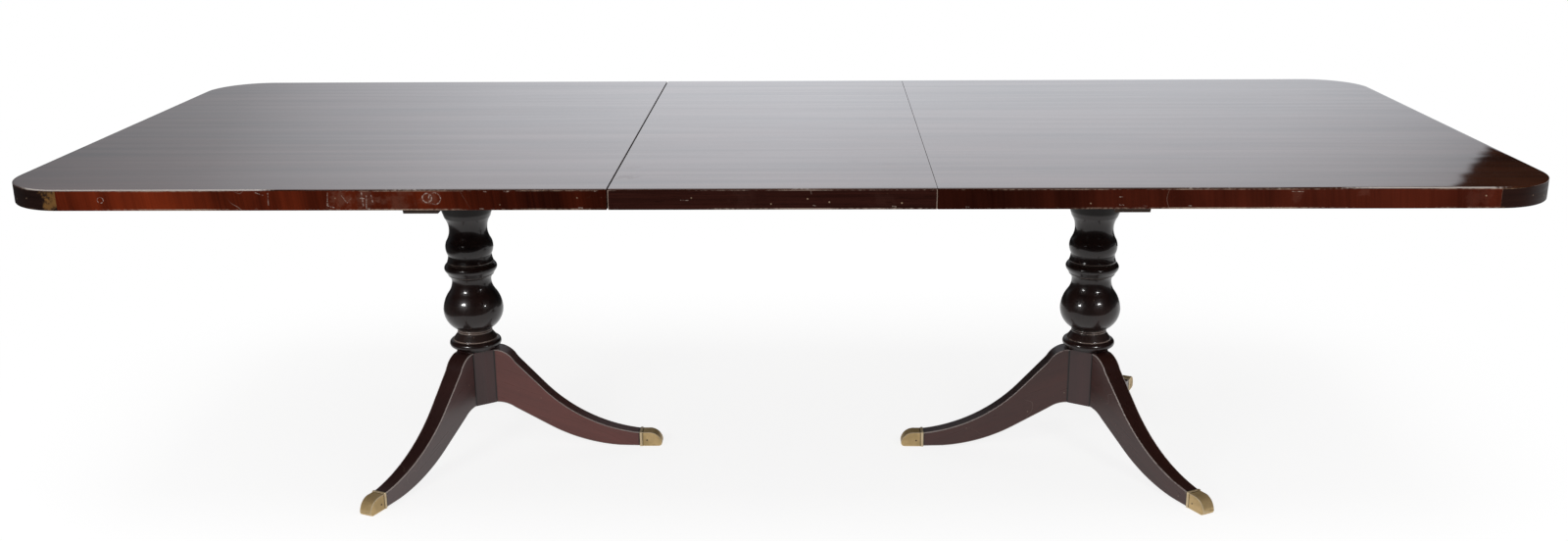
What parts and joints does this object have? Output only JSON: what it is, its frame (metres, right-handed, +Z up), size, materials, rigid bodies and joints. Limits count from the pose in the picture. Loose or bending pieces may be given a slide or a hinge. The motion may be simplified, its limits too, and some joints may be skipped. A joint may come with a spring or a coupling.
{
  "type": "double pedestal dining table",
  "caption": "Extension dining table: rounded top with a drop-in leaf on wooden slides, carried by turned pedestals with splayed legs and brass toe caps.",
  "frame": {"origin": "on the floor under the middle of the top", "axes": "+X along the length towards the right end, -Y towards the front, +Z up"},
  "size_m": [2.92, 1.2, 0.762],
  "materials": {
    "top_veneer": "glossy lacquered mahogany veneer, straight grain along the length",
    "edge_mahogany": "lacquered red-brown mahogany, light worn arrises",
    "pedestal_mahogany": "dark, very glossy stained mahogany",
    "underframe_wood": "plain unpolished hardwood",
    "brass": "aged satin brass",
    "screw_steel": "dull steel"
  },
  "bodies": {
    "right_end": {"right_back_corner": "edge_mahogany", "right_back_edge": "edge_mahogany", "right_back_leg": "pedestal_mahogany", "right_back_rail": "underframe_wood", "right_back_toe_cap": "brass", "right_bearer": "underframe_wood", "right_bearer_screws": "screw_steel", "right_block_screws": "screw_steel", "right_column": "pedestal_mahogany", "right_end_edge": "edge_mahogany", "right_front_corner": "edge_mahogany", "right_front_edge": "edge_mahogany", "right_front_leg": "pedestal_mahogany", "right_front_rail": "underframe_wood", "right_front_toe_cap": "brass", "right_inner_leg": "pedestal_mahogany", "right_inner_toe_cap": "brass", "right_leaf_pegs": "underframe_wood", "right_leg_dowels": "underframe_wood", "right_lock_plates": "brass", "right_rail_screws": "screw_steel", "right_toe_pins": "brass", "right_top_block": "underframe_wood", "right_top_panel": "top_veneer"},
    "left_end": {"left_back_corner": "edge_mahogany", "left_back_edge": "edge_mahogany", "left_back_leg": "pedestal_mahogany", "left_back_rail": "underframe_wood", "left_back_toe_cap": "brass", "left_bearer": "underframe_wood", "left_bearer_screws": "screw_steel", "left_block_screws": "screw_steel", "left_column": "pedestal_mahogany", "left_end_edge": "edge_mahogany", "left_front_corner": "edge_mahogany", "left_front_edge": "edge_mahogany", "left_front_leg": "pedestal_mahogany", "left_front_rail": "underframe_wood", "left_front_toe_cap": "brass", "left_inner_leg": "pedestal_mahogany", "left_inner_toe_cap": "brass", "left_leaf_pegs": "underframe_wood", "left_leg_dowels": "underframe_wood", "left_lock_plates": "brass", "left_rail_screws": "screw_steel", "left_toe_pins": "brass", "left_top_block": "underframe_wood", "left_top_panel": "top_veneer"},
    "slide_middle": {"back_slide_middle": "underframe_wood", "front_slide_middle": "underframe_wood"},
    "leaf": {"leaf_back_edge": "edge_mahogany", "leaf_front_edge": "edge_mahogany", "leaf_lock_keepers": "brass", "leaf_panel": "top_veneer"},
    "left_back_lock_lever": {"left_back_lock_lever": "brass"},
    "left_front_lock_lever": {"left_front_lock_lever": "brass"},
    "right_back_lock_lever": {"right_back_lock_lever": "brass"},
    "right_front_lock_lever": {"right_front_lock_lever": "brass"}
  },
  "joints": [
    {"name": "left_end_slide", "type": "slide", "parent": "right_end", "child": "left_end", "axis": [-1, 0, 0], "range_m": [0, 0.3]},
    {"name": "slide_middle_travel", "type": "slide", "parent": "right_end", "child": "slide_middle", "axis": [-1, 0, 0], "range_m": [0, 0.15]},
    {"name": "leaf_lift", "type": "slide", "parent": "slide_middle", "child": "leaf", "axis": [0, 0, 1], "range_m": [0, 0.3]},
    {"name": "left_front_lock_turn", "type": "hinge", "parent": "left_end", "child": "left_front_lock_lever", "pos_m": [-0.34, -0.43, 0.7357], "axis": [0, 0, -1], "range_deg": [-90, 0]},
    {"name": "left_back_lock_turn", "type": "hinge", "parent": "left_end", "child": "left_back_lock_lever", "pos_m": [-0.34, 0.43, 0.7357], "axis": [0, 0, 1], "range_deg": [-90, 0]},
    {"name": "right_front_lock_turn", "type": "hinge", "parent": "right_end", "child": "right_front_lock_lever", "pos_m": [0.34, -0.43, 0.7357], "axis": [0, 0, 1], "range_deg": [-90, 0]},
    {"name": "right_back_lock_turn", "type": "hinge", "parent": "right_end", "child": "right_back_lock_lever", "pos_m": [0.34, 0.43, 0.7357], "axis": [0, 0, -1], "range_deg": [-90, 0]}
  ],
  "couplings": [
    {"joint": "slide_middle_travel", "follows": "left_end_slide", "ratio": 0.5}
  ]
}
